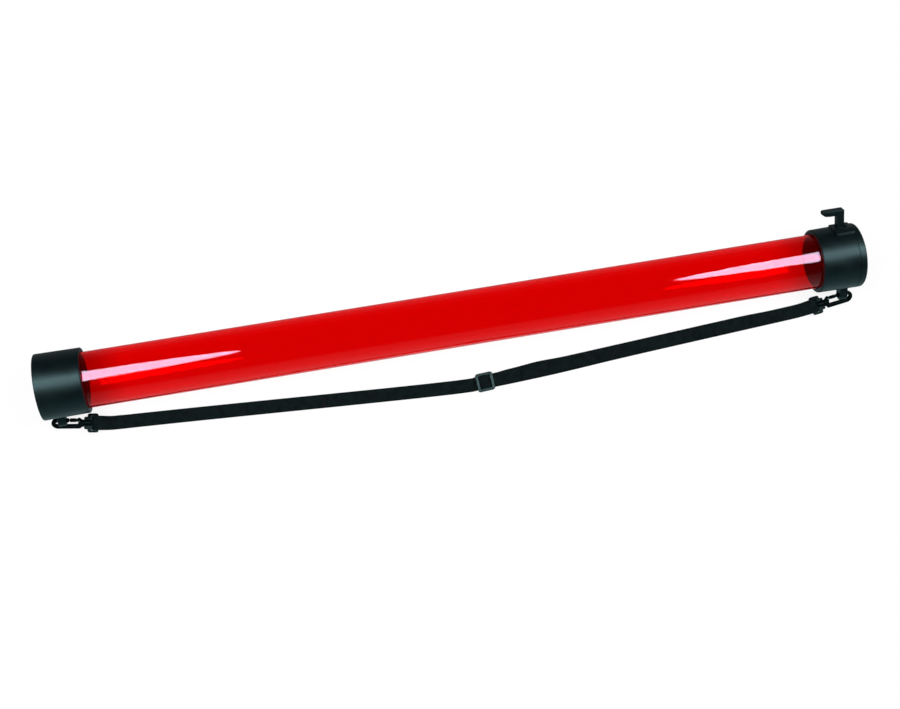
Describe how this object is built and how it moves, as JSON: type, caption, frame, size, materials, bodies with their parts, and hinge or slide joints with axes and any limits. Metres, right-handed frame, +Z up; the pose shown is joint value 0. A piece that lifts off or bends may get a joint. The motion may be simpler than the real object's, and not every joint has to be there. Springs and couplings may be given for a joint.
{
  "type": "tennis ball pickup tube",
  "caption": "Clear tube that picks up and stores tennis balls: flexing fingers at the mouth, a release lever at the far end and an adjustable clip-on strap.",
  "frame": {"origin": "on the surface the tube lies on, under the middle of its box", "axes": "+X along the tube towards the release cap, +Z up, the strap on the -Y side"},
  "size_m": [1.14, 0.1624, 0.0915],
  "materials": {
    "clear_red_plastic": "clear, glossy",
    "black_cap_plastic": "satin, moulded",
    "black_retainer_plastic": "satin, flexible",
    "black_fitting_plastic": "semi-gloss, moulded",
    "black_webbing": "woven, ribbed",
    "pin_steel": "plain drawn wire"
  },
  "bodies": {
    "tube_body": {"tube": "clear_red_plastic", "pickup_collar": "black_cap_plastic", "retainer_ring": "black_retainer_plastic", "release_cap": "black_cap_plastic", "lever_pivot_pin": "pin_steel"},
    "lever": {"release_lever": "black_cap_plastic"},
    "finger_1": {"retainer_finger_1": "black_retainer_plastic"},
    "finger_2": {"retainer_finger_2": "black_retainer_plastic"},
    "finger_3": {"retainer_finger_3": "black_retainer_plastic"},
    "finger_4": {"retainer_finger_4": "black_retainer_plastic"},
    "strap": {"snap_hook_left": "black_fitting_plastic", "snap_hook_right": "black_fitting_plastic", "gate_pin_left": "pin_steel", "gate_pin_right": "pin_steel", "webbing_lower": "black_webbing", "webbing_upper": "black_webbing"},
    "gate_left": {"hook_gate_left": "black_fitting_plastic"},
    "gate_right": {"hook_gate_right": "black_fitting_plastic"},
    "eye_left": {"strap_eye_left": "black_fitting_plastic", "webbing_end_left": "black_webbing"},
    "eye_right": {"strap_eye_right": "black_fitting_plastic", "webbing_end_right": "black_webbing"},
    "slider": {"slide_buckle": "black_fitting_plastic", "buckle_loop": "black_webbing"}
  },
  "joints": [
    {"name": "lever_release", "type": "hinge", "parent": "tube_body", "child": "lever", "pos_m": [0.5465, 0.05469, 0.07057], "axis": [0, 0.5736, -0.8192], "range_deg": [0, 36]},
    {"name": "finger_flex_1", "type": "hinge", "parent": "tube_body", "child": "finger_1", "pos_m": [-0.5592, 0.02502, 0.08311], "axis": [0, -0.9848, 0.1736], "range_deg": [0, 15], "stiffness_Nm_per_rad": 0.2},
    {"name": "finger_flex_2", "type": "hinge", "parent": "tube_body", "child": "finger_2", "pos_m": [-0.5592, -0.01969, 0.0518], "axis": [0, -0.1736, -0.9848], "range_deg": [0, 15], "stiffness_Nm_per_rad": 0.2},
    {"name": "finger_flex_3", "type": "hinge", "parent": "tube_body", "child": "finger_3", "pos_m": [-0.5592, 0.01162, 0.00709], "axis": [0, 0.9848, -0.1736], "range_deg": [0, 15], "stiffness_Nm_per_rad": 0.2},
    {"name": "finger_flex_4", "type": "hinge", "parent": "tube_body", "child": "finger_4", "pos_m": [-0.5592, 0.05634, 0.0384], "axis": [0, 0.1736, 0.9848], "range_deg": [0, 15], "stiffness_Nm_per_rad": 0.2},
    {"name": "strap_swing", "type": "hinge", "parent": "tube_body", "child": "strap", "pos_m": [0, -0.02739, 0.01309], "axis": [1, -0.0027, -0.0019], "range_deg": [-85, 80]},
    {"name": "gate_open_left", "type": "hinge", "parent": "strap", "child": "gate_left", "pos_m": [-0.52912, -0.02926, 0.01413], "axis": [-0.1279, -0.8262, 0.5487], "range_deg": [0, 32], "stiffness_Nm_per_rad": 0.02, "springref_deg": -11.46},
    {"name": "swivel_left", "type": "hinge", "parent": "strap", "child": "eye_left", "pos_m": [-0.51898, -0.03433, 0.00886], "axis": [-0.9882, 0.153, 0], "range_deg": [-30, 30]},
    {"name": "gate_open_right", "type": "hinge", "parent": "strap", "child": "gate_right", "pos_m": [0.52899, -0.03153, 0.01206], "axis": [-0.0811, 0.6603, -0.7466], "range_deg": [0, 32], "stiffness_Nm_per_rad": 0.02, "springref_deg": -11.46},
    {"name": "swivel_right", "type": "hinge", "parent": "strap", "child": "eye_right", "pos_m": [0.51884, -0.03751, 0.00787], "axis": [0.9925, 0.1219, 0], "range_deg": [-30, 30]},
    {"name": "slider_travel", "type": "slide", "parent": "strap", "child": "slider", "axis": [0.9983, 0.0576, 0], "range_m": [0, 0.38]}
  ]
}
